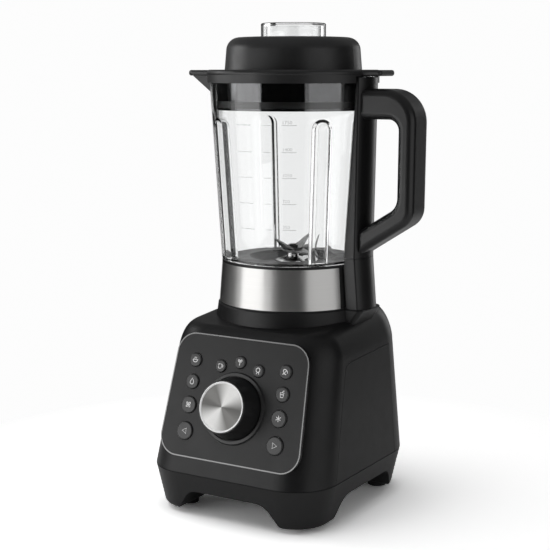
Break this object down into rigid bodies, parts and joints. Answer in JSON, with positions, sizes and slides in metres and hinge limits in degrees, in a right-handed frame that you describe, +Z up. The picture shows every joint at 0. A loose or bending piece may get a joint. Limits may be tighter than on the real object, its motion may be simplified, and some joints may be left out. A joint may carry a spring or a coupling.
{
  "type": "countertop blender",
  "caption": "Countertop blender with a square motor base, sloping control panel, glass jar with side handle, domed lid and clear measuring cap.",
  "frame": {"origin": "on the table, under the middle of the whole outline", "axes": "+Z up, the control panel faces -Y, the handle is on +X and the spout on -X"},
  "size_m": [0.2432, 0.2238, 0.448],
  "materials": {
    "black_plastic": "soft matte",
    "panel_plastic": "satin",
    "bright_trim": "polished",
    "knob_metal": "spun",
    "rubber": "matte",
    "steel_band": "brushed",
    "blade_steel": "satin",
    "grey_plastic": "satin",
    "clear_glass": "clear",
    "clear_plastic": "clear",
    "laminated_iron": "bare",
    "copper": "bare",
    "carbon": "matte",
    "cast_aluminium": "cast",
    "circuit_board": "lacquered"
  },
  "bodies": {
    "base": {"bottom_tray": "black_plastic", "rubber_feet": "rubber", "base_housing": "black_plastic", "side_panels": "black_plastic", "control_panel": "panel_plastic", "panel_trim": "bright_trim", "knob_bezel": "black_plastic", "collar_ring": "black_plastic", "motor_mount": "cast_aluminium", "motor_dampers": "rubber", "stator_core": "laminated_iron", "field_coils": "copper", "upper_motor_bracket": "cast_aluminium", "lower_motor_bracket": "cast_aluminium", "motor_bearings": "blade_steel", "carbon_brushes": "carbon", "control_board": "circuit_board", "tact_switches": "grey_plastic", "rotary_encoder": "grey_plastic", "power_board": "circuit_board", "reed_switch": "grey_plastic", "cord_gland": "black_plastic", "base_screws": "blade_steel"},
    "rotor": {"motor_shaft": "blade_steel", "armature": "laminated_iron", "commutator": "copper", "cooling_fan": "grey_plastic", "drive_coupling": "grey_plastic"},
    "jar": {"glass_jar": "clear_glass", "jar_base": "black_plastic", "steel_band": "steel_band", "jar_floor": "grey_plastic", "floor_gasket": "rubber", "handle": "black_plastic", "handle_socket": "black_plastic", "interlock_magnet": "laminated_iron", "blade_bearing_housing": "grey_plastic", "blade_bearings": "blade_steel", "housing_nut": "blade_steel"},
    "blades": {"blade_spindle": "blade_steel", "upper_blades": "blade_steel", "lower_blades": "blade_steel", "blade_nut": "blade_steel", "driven_coupling": "grey_plastic"},
    "lid": {"lid": "black_plastic", "lid_seal": "rubber"},
    "cap": {"measuring_cap": "clear_plastic"},
    "knob": {"knob_body": "black_plastic", "knob_face": "knob_metal"},
    "left_button_1": {"left_button_1": "panel_plastic"},
    "left_button_2": {"left_button_2": "panel_plastic"},
    "left_button_3": {"left_button_3": "panel_plastic"},
    "left_button_4": {"left_button_4": "panel_plastic"},
    "right_button_1": {"right_button_1": "panel_plastic"},
    "right_button_2": {"right_button_2": "panel_plastic"},
    "right_button_3": {"right_button_3": "panel_plastic"},
    "right_button_4": {"right_button_4": "panel_plastic"},
    "middle_button_1": {"middle_button_1": "panel_plastic"},
    "middle_button_2": {"middle_button_2": "panel_plastic"},
    "middle_button_3": {"middle_button_3": "panel_plastic"}
  },
  "joints": [
    {"name": "jar_lift", "type": "slide", "parent": "base", "child": "jar", "axis": [0, 0, 1], "range_m": [0, 0.15]},
    {"name": "lid_lift", "type": "slide", "parent": "jar", "child": "lid", "axis": [0, 0, 1], "range_m": [0, 0.12]},
    {"name": "cap_lift", "type": "slide", "parent": "lid", "child": "cap", "axis": [0, 0, 1], "range_m": [0, 0.08]},
    {"name": "motor_spin", "type": "hinge", "parent": "base", "child": "rotor", "pos_m": [-0.00975, 0.0218, 0.1], "axis": [0, 0, 1], "continuous": true},
    {"name": "blade_spin", "type": "hinge", "parent": "jar", "child": "blades", "pos_m": [-0.00975, 0.0218, 0.22], "axis": [0, 0, 1], "continuous": true},
    {"name": "knob_turn", "type": "hinge", "parent": "base", "child": "knob", "pos_m": [-0.00975, -0.0837, 0.10416], "axis": [0, -0.9563, 0.2924], "continuous": true},
    {"name": "left_button_1_press", "type": "slide", "parent": "base", "child": "left_button_1", "axis": [0, 0.9563, -0.2924], "range_m": [0, 0.001], "stiffness_N_per_m": 400, "springref_m": -0.0005},
    {"name": "left_button_2_press", "type": "slide", "parent": "base", "child": "left_button_2", "axis": [0, 0.9563, -0.2924], "range_m": [0, 0.001], "stiffness_N_per_m": 400, "springref_m": -0.0005},
    {"name": "left_button_3_press", "type": "slide", "parent": "base", "child": "left_button_3", "axis": [0, 0.9563, -0.2924], "range_m": [0, 0.001], "stiffness_N_per_m": 400, "springref_m": -0.0005},
    {"name": "left_button_4_press", "type": "slide", "parent": "base", "child": "left_button_4", "axis": [0, 0.9563, -0.2924], "range_m": [0, 0.001], "stiffness_N_per_m": 400, "springref_m": -0.0005},
    {"name": "right_button_1_press", "type": "slide", "parent": "base", "child": "right_button_1", "axis": [0, 0.9563, -0.2924], "range_m": [0, 0.001], "stiffness_N_per_m": 400, "springref_m": -0.0005},
    {"name": "right_button_2_press", "type": "slide", "parent": "base", "child": "right_button_2", "axis": [0, 0.9563, -0.2924], "range_m": [0, 0.001], "stiffness_N_per_m": 400, "springref_m": -0.0005},
    {"name": "right_button_3_press", "type": "slide", "parent": "base", "child": "right_button_3", "axis": [0, 0.9563, -0.2924], "range_m": [0, 0.001], "stiffness_N_per_m": 400, "springref_m": -0.0005},
    {"name": "right_button_4_press", "type": "slide", "parent": "base", "child": "right_button_4", "axis": [0, 0.9563, -0.2924], "range_m": [0, 0.001], "stiffness_N_per_m": 400, "springref_m": -0.0005},
    {"name": "middle_button_1_press", "type": "slide", "parent": "base", "child": "middle_button_1", "axis": [0, 0.9563, -0.2924], "range_m": [0, 0.001], "stiffness_N_per_m": 400, "springref_m": -0.0005},
    {"name": "middle_button_2_press", "type": "slide", "parent": "base", "child": "middle_button_2", "axis": [0, 0.9563, -0.2924], "range_m": [0, 0.001], "stiffness_N_per_m": 400, "springref_m": -0.0005},
    {"name": "middle_button_3_press", "type": "slide", "parent": "base", "child": "middle_button_3", "axis": [0, 0.9563, -0.2924], "range_m": [0, 0.001], "stiffness_N_per_m": 400, "springref_m": -0.0005}
  ],
  "couplings": [
    {"joint": "blade_spin", "follows": "motor_spin", "ratio": 1}
  ]
}
